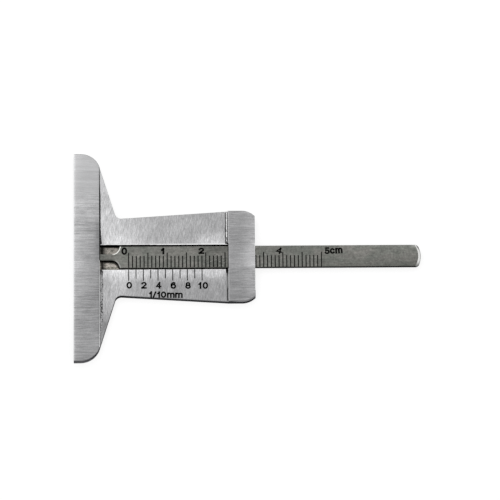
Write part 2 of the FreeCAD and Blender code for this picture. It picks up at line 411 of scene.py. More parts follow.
def end_steel():
    """The end cover: brushed along X, with painted light towards its free end and over the rule."""
    s = Surface("end_steel")
    factor, fine, streaks = brushed(s, 2.3)
    # Painted light towards the free end and over the rule, and a painted highlight by the inner edge.
    glow = s.step(s.x, FRAME_END - 4.5 * MM, FRAME_END - 0.2 * MM, 0.0, 0.3)
    glow = s.plus(glow, s.times(s.band(s.y, -3.5 * MM, 4 * MM, 2 * MM), 0.1))
    tongue_light = s.step(s.x, FRAME_END - 3.5 * MM, FRAME_END, 0.0, 0.2)
    glow = s.plus(glow, s.times(tongue_light, s.band(s.y, -3 * MM, 3.5 * MM, MM)))
    rim = s.step(s.x, END_COVER_EDGE + 0.45 * MM, END_COVER_EDGE + 0.2 * MM, 0.0, 0.2)
    factor = s.times(factor, s.plus(rim, glow, 1.0))
    # Painted light and shade: lighter towards +Y, darker towards -Y.
    low = s.step(s.y, 10 * MM, -10 * MM)
    colour = s.shade(s.mix(low, END_LIT, END_SHADED), factor)

    # Painted highlights on the bevels, and painted shade on the inner bevel over the rule.
    bevel = cover_bevel(s)
    free_rim = s.times(bevel, s.step(s.nx, 0.5, 0.65), s.band(s.y, -9.5 * MM, 3.4 * MM, 0.3 * MM))
    colour = s.mix(free_rim, colour, END_FREE_RIM_HIGHLIGHT)
    inner_rim = s.times(bevel, s.step(s.nx, -0.5, -0.65))
    over_cheeks = s.step(s.size(s.y), CHANNEL_HALF, CHANNEL_HALF + 0.3 * MM)
    colour = s.mix(inner_rim, colour, s.mix(over_cheeks, END_RIM_SHADE_OVER_RULE, END_RIM))
    return finish_cover(s, colour, fine, streaks, -1)


def beside_channel(s, cloud):
    """How much brighter the cheeks are beside the channel: all along the lower cheek, and on the upper
    one at both ends."""
    away = s.minus(s.size(s.y), CHANNEL_HALF)
    near = s.step(s.uneven(away, cloud, 3.2 * MM), 4.2 * MM, 0.2 * MM)
    patch = s.times(s.band(s.x, 34.3 * MM, 38 * MM, MM), s.band(s.y, -6.5 * MM, -3.3 * MM, 1.5 * MM))
    near = s.most(near, s.times(patch, 0.75))
    foot_end = s.step(s.x, 19 * MM, 14 * MM, 0.08, 0.5)
    cover_end = s.times(s.band(s.x, 32 * MM, 39 * MM, 2 * MM), 0.88)
    lower = s.times(s.by_side(1.0, 0.0), s.step(s.x, 10 * MM, 17 * MM, 0.8, 0.9))
    worn = s.grain((1.4, 0.7, 1), shift=1.1)
    brightening = s.times(near, s.most(foot_end, cover_end, lower), s.step(worn, 0.25, 0.65, 0.4, 0.85))
    return s.times(brightening, s.step(s.nz, 0.0, 0.5))


def cheek_steel(s):
    """Ground metal of the cheeks, streaked mostly along Y, with painted light at the flare, brighter
    beside the channel, darker at the foot's tips, and in painted shade in the corners beside the foot."""
    streaks = s.grain((0.18, 2.2, 2), detail=2, turn=-13, rough=0.6)
    crossed = s.grain((0.2, 1.5, 2), detail=2, turn=12, shift=0.3, rough=0.6)
    cloud = s.grain((4, 3.5, 7), shift=0.7)
    dust = s.grain((0.25, 0.3, 1), detail=2, shift=1.6)
    factor = s.times(s.wave(streaks, 0.58), s.wave(crossed, 0.34))
    factor = s.times(factor, s.times(s.wave(cloud, 0.2), s.wave(dust, 0.3)))

    # Painted light: the flare is lighter towards the foot.
    flare = s.step(s.x, 24 * MM, 10 * MM, 0.0, 0.32)
    notch = s.times(s.band(s.x, 9.8 * MM, 14 * MM, 1.2 * MM), s.step(s.y, -2 * MM, -5 * MM, 0.0, 0.1))
    bright = s.plus(beside_channel(s, cloud), s.plus(flare, notch), 1.0)
    factor = s.times(factor, bright)

    tips = s.most(s.step(s.y, -13 * MM, -19 * MM, 0.0, 0.34), s.step(s.y, 10 * MM, 16 * MM, 0.0, 0.12))
    # Painted shade in the corners beside the foot cover.
    corner = s.times(s.step(s.y, -8.5 * MM, -5.5 * MM, 0.03, 0.15), s.by_side(1.0, 0.0))
    corner = s.times(s.step(s.x, 11 * MM, 7.8 * MM), corner)
    foot_corner_shade = s.times(s.step(s.x, 8.4 * MM, 7.4 * MM, 0.0, 0.28), s.band(s.y, 3.4 * MM, 6 * MM, 0.8 * MM))
    factor = s.times(factor, s.rest(s.plus(tips, corner, foot_corner_shade)))
    # Painted light and shade: lighter towards +Y, darker towards -Y.
    low = s.step(s.y, 4 * MM, -12 * MM)
    return s.shade(s.mix(low, CHEEK_LIT, CHEEK_SHADED), factor), streaks, crossed


NOTCH_CURVE = 0.38 / MM  # how fast the notch's edge bends away from the probe


def beside_probe(s):
    """A painted shadow on the floor along the lower side of the probe and of its notch."""
    past_root = s.most(s.minus(s.x, PROBE_ROOT), 0.0)
    bend = s.times(past_root, past_root, NOTCH_CURVE)
    beside = s.minus(s.minus(-PROBE_HALF, s.y), bend)
    return s.times(s.step(beside, 0.75 * MM, 0.3 * MM), s.step(s.y, -0.5 * MM, -0.8 * MM, 0.0, 0.85))


def channel_floor(s):
    """The milled floor: blotches of pinkish and greenish grey with dark pits, and painted black shadow
    in its corners and along the probe's lower side."""
    blotch = s.grain((0.9, 0.55, 1), detail=4, shift=0.2, rough=0.7)
    cutter = s.grain((2.2, 0.2, 1), detail=2, shift=0.9)
    stain = s.mix(s.step(blotch, 0.36, 0.6), FLOOR_GREENISH, FLOOR_PINKISH)
    stain = s.shade(stain, s.wave(cutter, 0.55))
    stain = s.shade(stain, s.step(s.y, 1.2 * MM, -1.2 * MM, 0.78, 1.06))
    pits = s.grain((0.34, 0.3, 1), detail=2, shift=0.5, rough=0.7)
    stain = s.mix(s.step(pits, 0.36, 0.3), stain, FLOOR_PIT)
    trace = s.times(s.band(s.y, -2.72 * MM, -2.54 * MM, 0.05 * MM), s.step(cutter, 0.3, 0.5))
    stain = s.mix(trace, stain, FLOOR_TRACE)

    # Painted shadow along the upper wall and beside the foot cover; a painted reflection at the cover's
    # very edge (lip) takes some of it off.
    wall = s.step(s.y, CHANNEL_HALF - 0.75 * MM, CHANNEL_HALF - 0.25 * MM)
    foot = s.step(s.x, COVER_EDGE + 2.1 * MM, COVER_EDGE + 0.5 * MM)
    lip = s.step(s.x, COVER_EDGE + 0.45 * MM, COVER_EDGE + 0.3 * MM)
    lip = s.times(lip, s.by_side(0.62, 0.2))
    black = s.times(s.most(wall, foot, beside_probe(s)), s.rest(lip))
    return s.mix(black, stain, FLOOR_SHADOW), blotch


def channel_edges(s, colour):
    """The channel's small bevels: painted highlights broken by nicks, with painted shade along their
    lower side.
    """
    # Painted highlights on the bevels, none next to the foot on the upper one.
    bevel = s.band(s.nz, 0.8, 0.95, 0.03)
    outer = CHANNEL_HALF + CHANNEL_BEVEL
    bevel = s.times(bevel, s.band(s.size(s.y), CHANNEL_HALF - 0.05 * MM, outer, 0.02 * MM))
    nicks = s.grain((0.7, 0.4, 0.4), detail=2, shift=1.4)
    near_foot = s.times(s.step(s.x, 8.3 * MM, 7.5 * MM), s.step(s.y, 0.0, MM))
    bright = s.times(bevel, s.step(nicks, 0.3, 0.5, 0.5, 1.0), s.rest(near_foot))
    colour = s.mix(bright, colour, s.mix(s.by_side(0.0, 1.0), CHANNEL_EDGE_HIGHLIGHT_LOWER, CHANNEL_EDGE_HIGHLIGHT_UPPER))

    # Painted shade on the bevels' lower part, less of it on the upper bevel away from the foot.
    ragged = s.grain((1.6, 0.5, 0.5), shift=2.2)
    upper_shade_level = s.step(s.x, 18 * MM, 30 * MM, 0.075 * MM, 0.14 * MM)
    level = s.plus(s.uneven(s.z, ragged, 0.1 * MM), s.by_side(0.055 * MM, upper_shade_level))
    lower_shade = s.step(level, CHEEK_TOP, CHEEK_TOP - 0.02 * MM)
    return s.mix(s.times(lower_shade, bevel), colour, CHANNEL_BEVEL_SHADE)


def frame_steel():
    """The frame: ground cheeks, a rough channel floor, sides and channel walls in painted shade, and
    channel edges with painted highlights.
    """
    s = Surface("frame_steel")
    cheek, streaks, crossed = cheek_steel(s)
    stain, blotch = channel_floor(s)
    on_floor = s.step(s.z, CHEEK_TOP - 0.3 * MM, CHEEK_TOP - 0.4 * MM)
    on_floor = s.times(on_floor, s.step(s.nz, 0.85, 0.95))
    colour = channel_edges(s, s.mix(on_floor, cheek, stain))
    # Painted shade on the lower bevels.
    colour = s.mix(downhill(s), colour, SHADED_LOWER_BEVEL)
    # Painted shade on the channel's walls.
    inside = s.step(s.size(s.y), CHANNEL_HALF + 0.35 * MM, CHANNEL_HALF + 0.15 * MM)
    inside = s.times(inside, s.step(s.size(s.ny), 0.4, 0.6))
    colour = s.mix(upright(s), colour, s.mix(inside, sheared_side(s), CHANNEL_WALL_SHADE))

    roughness = s.minus(s.step(streaks, 0.2, 0.8, 0.32, 0.46), s.times(on_floor, 0.1))
    height = s.plus(streaks, crossed, s.times(blotch, on_floor, 4.0))
    return s.finish(colour, roughness, height, SCRATCH_DEPTH, PLATE_ROUNDING)


def rule_face(s):
    """Hardened steel, darker than the plates: mottled, dull at the probe, with a painted shadow of the
    end cover where it runs under it, a few scratches and a painted highlight on one corner."""
    grain = s.grain((5, 0.3, 2), detail=4, rough=0.6)
    mottle = s.grain((0.5, 0.5, 1), detail=4, shift=0.4, rough=0.65)
    cloud = s.grain((5, 2.5, 4), shift=0.8)
    factor = s.times(s.wave(grain, 0.4), s.wave(mottle, 0.8), s.wave(cloud, 0.35))
    slant = s.times(s.step(s.x, 55 * MM, RULE_END, 0.0, 0.3), s.y)
    factor = s.times(factor, s.maths("MULTIPLY_ADD", slant, 1 / RULE_HALF, 1.0))
    # Painted shadow of the end cover on the rule.
    cover_shadow = s.times(s.band(s.x, 34 * MM, 41 * MM, 4 * MM), 0.24)
    dull = s.most(s.step(s.x, 12 * MM, 9 * MM, 0.0, 0.26), cover_shadow)
    factor = s.times(factor, s.rest(dull))
    outside = s.step(s.x, 44 * MM, 50 * MM, 0.92, 1.02)
    graduated = s.times(s.step(s.x, 44 * MM, 38 * MM, 0.0, 0.09), s.step(s.y, 1.6 * MM, 0.8 * MM))
    factor = s.times(factor, s.plus(outside, graduated))
    colour = s.shade(s.mix(s.step(cloud, 0.35, 0.65), RULE_COOL, RULE_WARM), factor)

    scratches = s.grain((0.9, 0.2, 1), turn=20, shift=1.9, rough=0.7)
    worn = s.most(s.band(s.x, 33 * MM, 40 * MM, 1.5 * MM), s.band(s.x, 47 * MM, 52 * MM, MM))
    worn = s.times(worn, s.step(s.y, 1.4 * MM, 0.4 * MM, 0.0, 0.1))
    found = s.step(s.plus(scratches, worn), 0.66, 0.76, 0.0, 0.5)
    colour = s.mix(found, colour, RULE_SCRATCH)
    # Painted highlight on one corner of the free end.
    corner = s.times(s.step(s.x, 86.5 * MM, 89.5 * MM), s.step(s.y, 2.0 * MM, 2.9 * MM))
    return s.mix(s.times(corner, 0.7), colour, RULE_LIT_CORNER), grain, mottle


def rule_steel():
    """The rule: its face, painted shade on its lower edge and sides, and painted highlights on its
    bevels.
    """
    s = Surface("rule_steel")
    colour, grain, mottle = rule_face(s)
    # Painted shade on the lower bevel outside the frame and on the sides, darker in the channel.
    free = s.step(s.x, FRAME_END - 0.3 * MM, FRAME_END)
    colour = s.mix(s.times(downhill(s), free), colour, RULE_LOWER_EDGE_SHADE)
    colour = s.mix(upright(s), colour, s.mix(free, RULE_SIDE_SHADE_IN_CHANNEL, RULE_SIDE))

    # Painted highlights on the notch bevels.
    bevel = s.band(s.nz, 0.905, 0.96, 0.01)
    upper = s.times(s.step(s.y, 0.0, 0.1 * MM), s.step(s.nx, -0.03, -0.13, 0.08, 1.0))
    lower = s.times(s.step(s.y, 0.0, -0.1 * MM), s.step(s.nx, -0.14, -0.24))
    colour = s.mix(s.times(bevel, upper), colour, NOTCH_HIGHLIGHT_UPPER)
    colour = s.mix(s.times(bevel, lower), colour, NOTCH_HIGHLIGHT_LOWER)

    # Painted highlight on the dome's bevel, with painted shade on its lower part and at its rim.
    dome = s.step(s.x, RULE_END - 3 * MM, RULE_END - 2 * MM)
    dome = s.times(s.band(s.nz, 0.86, 0.9, 0.005), dome)
    depth = s.plus(s.minus(RULE_TOP, s.z), s.step(s.y, 1.2 * MM, 2.5 * MM, 0.0, 0.14 * MM))
    shaded = s.mix(s.step(s.y, -1.4 * MM, -2.9 * MM), DOME_BEVEL, DOME_BEVEL_SHADE)
    shaded = s.mix(s.step(depth, 0.26 * MM, 0.31 * MM), shaded, DOME_RIM_SHADE)
    colour = s.mix(dome, colour, shaded)
    roughness = s.step(grain, 0.2, 0.8, 0.36, 0.48)
    height = s.plus(grain, s.times(mottle, 0.6))
    return s.finish(colour, roughness, height, RULE_SCRATCH_DEPTH, RULE_ROUNDING)


def ink():
    """Black filler in the engraved marks, a little worn."""
    s = Surface("black_ink")
    worn = s.grain((0.25, 0.4, 1), detail=4, rough=0.7)
    colour = s.mix(s.step(worn, 0.55, 0.75), INK, WORN_INK)
    roughness = s.step(worn, 0.3, 0.7, 0.6, 0.8)
    s.shader.inputs["Specular IOR Level"].default_value = INK_SPECULAR
    return s.finish(colour, roughness, worn, FINE_DEPTH, INK_ROUNDING, metallic=0.0)


def seam_metal(name, edge_x, towards, look):
    """Filler metal. The look shades it by its distance from the cover's edge and by its cheek."""
    s = Surface(name)
    reach = s.times(s.minus(s.x, edge_x), towards)
    lumps = s.grain((0.3, 0.7, 0.4), rough=0.7)
    specks = s.grain((0.34, 0.42, 0.3), detail=2, shift=0.6)
    colour = look(s, reach, lumps, specks)
    roughness = s.step(lumps, 0.3, 0.7, 0.6, 0.35)
    return s.finish(colour, roughness, lumps, SEAM_LUMP_DEPTH, SEAM_ROUNDING)


def foot_seam_look(s, reach, lumps, specks):
    """A dark line of painted shade in the gap beside the cover on the upper cheek, and on the lower one
    dull metal with black pits and painted shade beside the channel."""
    # Painted shade in the gap beside the cover.
    gap_shade = s.shade(GAP_SHADE, s.wave(lumps, 0.6))
    sparks = s.times(s.step(specks, 0.57, 0.65), s.step(s.y, 13 * MM, 8 * MM))
    gap_shade = s.mix(sparks, gap_shade, CREVICE_SPARK)

    dull = s.shade(DULL_FILLER, s.wave(lumps, 0.8))
    blots = s.grain((0.5, 1.1, 0.5), shift=3.1, rough=0.65)
    dull = s.mix(s.step(blots, 0.47, 0.39, 0.0, 0.7), dull, FILLER_BLOT)
    pitted = s.band(s.y, -16.6 * MM, -11.6 * MM, 0.5 * MM)
    pits = s.step(s.plus(specks, s.times(pitted, -0.07)), 0.43, 0.39)
    pits = s.times(pits, s.band(s.y, -20 * MM, -3.6 * MM, 1.5 * MM))
    pits = s.times(pits, s.band(reach, 0.25 * MM, 0.86 * MM, 0.08 * MM))
    dull = s.mix(pits, dull, FILLER_PIT_AND_SHADE)
    # Painted shade where the lower run meets the channel's corner.
    seam_corner_shade = s.times(s.step(s.y, -5.3 * MM, -4.1 * MM), s.step(lumps, 0.35, 0.6, 0.5, 1.0))
    dull = s.mix(seam_corner_shade, dull, FOOT_SEAM_CORNER_SHADE)
    return s.mix(s.by_side(0.0, 1.0), dull, gap_shade)


def end_seam_look(s, reach, lumps, specks):
    """A ridge with a painted highlight between dark lines, partly dark joints and partly painted shade,
    on the upper cheek, and one such line on the lower. Both have painted black shade beside the channel."""
    # The dark lines are partly dark joints and partly painted shade.
    dark = s.shade(RIDGE_SIDE, s.wave(lumps, 0.5))
    dark = s.mix(s.step(lumps, 0.56, 0.66, 0.0, 0.7), dark, RIDGE_SIDE_SPOT)
    dark = s.mix(s.step(reach, 0.3 * MM, 0.2 * MM), dark, s.shade(RIDGE_FOOT, s.wave(lumps, 0.6)))
    broken = s.most(s.band(s.y, 6.8 * MM, 7.4 * MM, 0.25 * MM), s.step(s.y, 5.8 * MM, 5.2 * MM))
    sparse = s.maths("MULTIPLY_ADD", broken, -0.12, specks)
    # Painted highlight along the ridge's top.
    ridge = s.band(reach, 0.2 * MM, 0.46 * MM, 0.04 * MM)
    ridge = s.times(ridge, s.step(sparse, 0.36, 0.48, 0.3, 1.0))
    ridged = s.mix(ridge, dark, RIDGE)

    line = s.shade(SEAM_LINE, s.wave(lumps, 0.7))
    faded = s.times(s.band(s.y, -8.6 * MM, -5.2 * MM, 0.6 * MM), 0.55)
    line = s.mix(faded, line, FADED_LINE)
    single = s.mix(s.step(reach, 0.36 * MM, 0.42 * MM), line, BESIDE_LINE)
    single = s.mix(s.step(reach, 0.12 * MM, 0.08 * MM), single, BEHIND_LINE)

    colour = s.mix(s.by_side(0.0, 1.0), single, ridged)
    # Painted black shade beside the channel, in the pits' colour.
    beside = s.minus(s.size(s.y), CHANNEL_HALF)
    beside = s.minus(beside, s.times(s.rest(s.by_side(0.0, 1.0)), 0.7 * MM))
    seam_corner_shade = s.step(s.maths("MULTIPLY_ADD", lumps, 1.6 * MM, beside), 1.5 * MM, 1.1 * MM)
    return s.mix(seam_corner_shade, colour, FILLER_PIT_AND_SHADE)


def spring_bronze():
    s = Surface("spring_bronze")
    grain = s.grain((3, 0.1, 0.1))
    colour = s.shade(BRONZE, s.wave(grain, 0.15))
    return s.finish(colour, s.step(grain, 0.2, 0.8, 0.25, 0.4), grain, FINE_DEPTH, SPRING_ROUNDING)


def dress(obj, material):
    obj.data.materials.clear()
    obj.data.materials.append(material)


def piece(name, mesh, material, body):
    made = bpy.data.objects.new(name, mesh)
    bpy.context.scene.collection.objects.link(made)
    dress(made, material)
    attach(made, body)
    return made


def block(low, high):
    """Corners and faces of a box."""
    points = [(x, y, z) for x in (low[0], high[0]) for y in (low[1], high[1]) for z in (low[2], high[2])]
    faces = [(0, 1, 3, 2), (4, 6, 7, 5), (0, 4, 5, 1), (2, 3, 7, 6), (0, 2, 6, 4), (1, 5, 7, 3)]
    return points, faces


def joined(name, parts):
    """One mesh from several lists of points and faces."""
    points, faces = [], []
    for part_points, part_faces in parts:
        offset = len(points)
        points += part_points
        faces += [tuple(index + offset for index in face) for face in part_faces]
    mesh = bpy.data.meshes.new(name)
    mesh.from_pydata(points, [], faces)
    mesh.update()
    return mesh


# How far the filler of a line stays clear of the surface and the groove's ends, of the groove's sides
# and of its floor
FILL_GAP = 0.008 * MM
FILL_SIDE_GAP = 0.002 * MM
FILL_FLOOR_GAP = 0.001 * MM
FILL_BEVEL_GAPS = (0.01 * MM, 0.02 * MM)  # of the channel's bevel, at the filler's top and foot


def rule_marks():
    half = RULE_MARK_WIDTH / 2 - FILL_SIDE_GAP
    parts = []
    for count in range(SCALE_MARKS + 1):
        length = RULE_SHORT_MARK if count % RULE_LONG_EVERY else RULE_LONG_MARK
        x = SCALE_ZERO + count * MM
        low = (x - half, RULE_MARK_START - RULE_HALF, RULE_TOP - MARK_DEPTH + FILL_FLOOR_GAP)
        high = (x + half, length - RULE_HALF - FILL_GAP, RULE_TOP - FILL_GAP)
        parts.append(block(low, high))
    return joined("rule_marks", parts)


def vernier_marks():
    """The filler follows the groove and runs down the channel's bevel to its end."""
    bevel_start = -CHANNEL_HALF - CHANNEL_BEVEL
    slope = CHANNEL_BEVEL_DEPTH / CHANNEL_BEVEL
    top, low = CHEEK_TOP - FILL_GAP, CHEEK_TOP - MARK_DEPTH + FILL_FLOOR_GAP
    near_top = bevel_start + FILL_GAP / slope - FILL_BEVEL_GAPS[0]
    near_low = bevel_start + MARK_DEPTH / slope - FILL_BEVEL_GAPS[1]
    half = VERNIER_MARK_WIDTH / 2 - FILL_SIDE_GAP
    parts = []
    for count in range(VERNIER_DIVISIONS + 1):
        length = VERNIER_SHORT_MARK if count % VERNIER_LONG_EVERY else VERNIER_LONG_MARK
        far = FILL_GAP - CHANNEL_HALF - length
        x = SCALE_ZERO + count * VERNIER_PITCH
        profile = [(far, low), (far, top), (near_top, top), (near_low, low)]
        points = [(x + side, y, z) for side in (-half, half) for y, z in profile]
        faces = [(0, 1, 2, 3), (7, 6, 5, 4)]
        faces += [(i, 4 + i, 4 + (i + 1) % 4, (i + 1) % 4) for i in range(4)]
        parts.append((points, faces))
    return joined("vernier_marks", parts)


BOW_STEP = 12  # degrees between the points of a curved stroke
BOW_LEAST = 4


def bow(x, y, reach_x, reach_y, start, end):
    """Points along part of an ellipse, between two angles in degrees."""
    steps = max(BOW_LEAST, round(abs(end - start) / BOW_STEP))
    angles = [math.radians(start + (end - start) * i / steps) for i in range(steps + 1)]
    return [(x + reach_x * math.cos(a), y + reach_y * math.sin(a)) for a in angles]


# Strokes of each character's middle line in a box one wide and one high
STROKES = {
    "0": [bow(0.5, 0.5, 0.5, 0.5, 0, 360)],
    "1": [[(1, 0), (1, 1)], [(0, 0.74), (0.6, 0.86), (1, 1)]],
    "2": [bow(0.5, 0.72, 0.48, 0.28, 160, -30) + [(0, 0)], [(0, 0), (1, 0)]],
    "3": [bow(0.48, 0.75, 0.44, 0.25, 155, -85), bow(0.48, 0.26, 0.52, 0.26, 85, -155)],
    "4": [[(0.72, 0), (0.72, 1)], [(0.72, 1), (0, 0.28), (1, 0.28)]],
    "5": [[(0.95, 1), (0.22, 1), (0.12, 0.47)] + bow(0.48, 0.3, 0.52, 0.3, 128, -150)],
    "6": [bow(0.5, 0.33, 0.5, 0.33, 0, 360), bow(0.55, 0.5, 0.55, 0.5, 190, 58)],
    "8": [bow(0.5, 0.76, 0.4, 0.24, 0, 360), bow(0.5, 0.27, 0.5, 0.27, 0, 360)],
    "c": [bow(0.5, 0.5, 0.5, 0.5, 42, 318)],
    "m": [
        [(0, 0), (0, 1)],
        bow(0.25, 0.7, 0.25, 0.3, 180, 0) + [(0.5, 0)],
        bow(0.75, 0.7, 0.25, 0.3, 180, 0) + [(1, 0)],
    ],
    "/": [[(0, 0), (1, 1)]],
}
WIDTHS = {"1": 0.55, "/": 0.66, "c": 1.02, "m": 1.41}  # as shares of a digit's width
LOW_LETTERS = "cm"
LOW_LETTER_HEIGHT = 0.84
LOW_LETTER_GAP = 0.45  # as a share of the gap between digits
INK_RISE = 0.006 * MM
INK_SINK = 0.02 * MM
SAME_POINT = 1e-9
MITRE_LIMIT = 1.8


def ribbon(points, half, place, surface):
    """A closed strip of ink along a stroke, with mitred corners and square ends. Place turns a point
    into X and Y."""
    closed = math.dist(points[0], points[-1]) < SAME_POINT
    spots = [Vector(place(*point)) for point in (points[:-1] if closed else points)]
    if not closed:
        spots[0] += (spots[0] - spots[1]).normalized() * half
        spots[-1] += (spots[-1] - spots[-2]).normalized() * half
    count = len(spots)
    corners = []
    for i, spot in enumerate(spots):
        runs = []
        if closed or i:
            runs.append((spot - spots[i - 1]).normalized())
        if closed or i < count - 1:
            runs.append((spots[(i + 1) % count] - spot).normalized())
        along = sum(runs, Vector((0, 0))).normalized()
        across = Vector((-along.y, along.x))
        stretch = 1 / max(1 / MITRE_LIMIT, along.dot(runs[0]))
        reach = across * half * stretch
        corners.append((spot + reach, spot - reach))
    low, high = surface - INK_SINK, surface + INK_RISE
    mesh_points = []
    for left, right in corners:
        mesh_points += [(left.x, left.y, high), (right.x, right.y, high)]
        mesh_points += [(right.x, right.y, low), (left.x, left.y, low)]
    faces = []
    for i in range(count if closed else count - 1):
        a, b = 4 * i, 4 * ((i + 1) % count)
        faces += [(a + j, a + (j + 1) % 4, b + (j + 1) % 4, b + j) for j in range(4)]
    if not closed:
        faces += [(3, 2, 1, 0), tuple(4 * (count - 1) + j for j in range(4))]
    return mesh_points, faces


def lettering(name, labels, surface):
    """Figures in ink. A label is text, its middle, a digit's width and height, stroke, gap and turn."""
    parts = []
    for text, x, y, digit, height, stroke, gap, turn in labels:
        widths = [digit * WIDTHS.get(letter, 1) for letter in text]
        gaps = [gap * LOW_LETTER_GAP if letter in LOW_LETTERS else gap for letter in text]
        start = -(sum(widths) + sum(gaps[:-1])) / 2
        turned = Matrix.Rotation(math.radians(turn), 2)
        for letter, width, space in zip(text, widths, gaps):
            tall = height * LOW_LETTER_HEIGHT if letter in LOW_LETTERS else height

            def place(u, v, left=start, wide=width, tall=tall):
                local = (
                    left + stroke / 2 + u * (wide - stroke),
                    stroke / 2 - height / 2 + v * (tall - stroke),
                )
                return turned @ Vector(local) + Vector((x, y))

            parts += [ribbon(points, stroke / 2, place, surface) for points in STROKES[letter]]
            start += width + space
    return joined(name, parts)


DIGIT_GAP = 0.3 * MM

RULE_LABELS = [
    ("0", 13.08 * MM, 1.66 * MM, 1.54 * MM, 2.06 * MM, 0.5 * MM, DIGIT_GAP, 0),
    ("1", 23.0 * MM, 1.6 * MM, 1.7 * MM, 1.78 * MM, 0.52 * MM, DIGIT_GAP, 0),
    ("2", 33.07 * MM, 1.62 * MM, 1.5 * MM, 1.78 * MM, 0.48 * MM, DIGIT_GAP, 0),
    ("3", 43.15 * MM, 1.6 * MM, 1.5 * MM, 1.78 * MM, 0.48 * MM, DIGIT_GAP, 0),
    ("4", 53.26 * MM, 1.57 * MM, 1.6 * MM, 1.82 * MM, 0.42 * MM, DIGIT_GAP, -14),
    ("5cm", 67.36 * MM, 1.56 * MM, 1.36 * MM, 1.9 * MM, 0.47 * MM, 0.03 * MM, 3.4),
]

UNIT_LABEL = ("1/10mm", 23.8 * MM, -10.41 * MM, 1.42 * MM, 1.76 * MM, 0.43 * MM, 0.18 * MM, -1.0)
NUMBER_SHAPE = (1.46 * MM, 1.88 * MM, 0.44 * MM, DIGIT_GAP, 0)
NUMBERED_EVERY = 2
NUMBER_ROW = -7.76 * MM
NUMBER_ROW_FALL = 0.01
NUMBER_SHIFT = 0.14 * MM
LAST_NUMBER_SHIFT = 0.12 * MM


def vernier_labels():
    """Every second line has its number, in a row that sinks a little towards the end cover."""
    labels = []
    for count in range(0, VERNIER_DIVISIONS + 1, NUMBERED_EVERY):
        x = SCALE_ZERO + count * VERNIER_PITCH + NUMBER_SHIFT
        y = NUMBER_ROW - NUMBER_ROW_FALL * (x - SCALE_ZERO)
        if count == VERNIER_DIVISIONS:
            x += LAST_NUMBER_SHIFT
        labels.append((str(count), x, y, *NUMBER_SHAPE))
    return labels + [UNIT_LABEL]


SEAM_STEPS = 160
SEAM_CLOSING = 3  # steps over which a run of filler closes at each end
SEAM_END_STEP = 0.3  # how far the first and last sections count as inside the run
SEAM_GAP = 0.008 * MM
SEAM_FOOT = (0.005 * MM, 0.001 * MM)  # how far the section's last corner is from the cover and cheek
SEAM_LEAST_RISE = 0.004 * MM
SEAM_CHANNEL_GAP = 0.02 * MM
SWAY, SWAY_LENGTH = 0.2, 1.6 * MM
SWAY_FRACTAL = (1.0, 2.0, 3)  # fineness, gap between octaves and number of octaves
LUMP, LUMP_LENGTH = 0.25, 0.3 * MM
LUMP_ACROSS, LUMP_LEVEL = 0.9, 5  # place in the noise: step between a section's points, and height


def seam(name, edge_x, towards, outer_y, shape, seed):
    """Uneven filler metal along a cover's edge, one closed run on each cheek.

    The shape gives, for a cheek and a place along Y, the section's points as reach and height."""
    parts = []
    for side in (1, -1):
        start = CHANNEL_HALF + SEAM_CHANNEL_GAP
        points, faces = [], []
        for i in range(SEAM_STEPS + 1):
            along = start + (outer_y - start) * i / SEAM_STEPS
            sway = noise.fractal(Vector((seed, side * along / SWAY_LENGTH, 0)), *SWAY_FRACTAL)
            section = shape(side, along)
            inside = min(i, SEAM_STEPS - i) + SEAM_END_STEP
            close = min(1, inside / SEAM_CLOSING)
            for j, (reach, height) in enumerate(section):
                spot = (j * LUMP_ACROSS + seed, side * along / LUMP_LENGTH, LUMP_LEVEL)
                lump = noise.noise(Vector(spot))
                out = reach * close * (1 + SWAY * sway)
                up = max(height * close * (1 + LUMP * lump), SEAM_LEAST_RISE)
                points.append((edge_x + towards * out, side * along, CHEEK_TOP + up))
            points.append((edge_x + towards * SEAM_FOOT[0], side * along, CHEEK_TOP + SEAM_FOOT[1]))
        ring = len(section) + 1
        for i in range(SEAM_STEPS):
            for j in range(ring):
                a, b = i * ring + j, i * ring + (j + 1) % ring
                faces.append((a, b, b + ring, a + ring))
        faces.append(tuple(range(ring)))
        faces.append(tuple(SEAM_STEPS * ring + j for j in reversed(range(ring))))
        parts.append((points, faces))
    return joined(name, parts)


FILLET_STEPS = 8
FILLET_HEIGHT = 0.45 * MM
FOOT_LINE_END = 22 * MM
FOOT_LINE_WIDTH, FOOT_LINE_LEAST = 0.24 * MM, 0.2
FOOT_LINE_EXTRA = 0.34 * MM  # added beside the channel
FOOT_LINE_PACE = 3.5  # the extra width and the last narrowing each take a 3.5th part of the line
FOOT_RUN_END, FOOT_RUN_TAPER, FOOT_RUN_LEAST = 23 * MM, 5 * MM, 0.15

# Sections of the lower runs, and the top of the ridge's section, as reach and height in millimetres
FOOT_RUN = [(0.0, 0.4), (0.1, 0.24), (0.22, 0.15), (0.4, 0.1), (0.6, 0.06), (0.74, 0.03), (0.84, 0.005)]
END_RUN = [(0.008, 0.14), (0.12, 0.02), (0.4, 0.02), (0.64, 0.005)]
RIDGE_START = [(0.008, 0.26), (0.1, 0.06)]
RIDGE_FINISH = [(0.54, 0.03), (0.72, 0.005)]
RIDGE_MIDDLE = (0.33, 0.05)
RIDGE_RADII = (0.15, 0.13)
RIDGE_ANGLES = range(30, 180, 30)  # degrees


def in_metres(section):
    return [(reach * MM, height * MM) for reach, height in section]


def hollow_fillet(width):
    """A section that falls from the cover's wall in a hollow curve."""
    angles = [math.pi / 2 * i / FILLET_STEPS for i in range(FILLET_STEPS + 1)]
    return [(width * (1 - math.cos(a)) + SEAM_GAP, FILLET_HEIGHT * (1 - math.sin(a))) for a in angles]


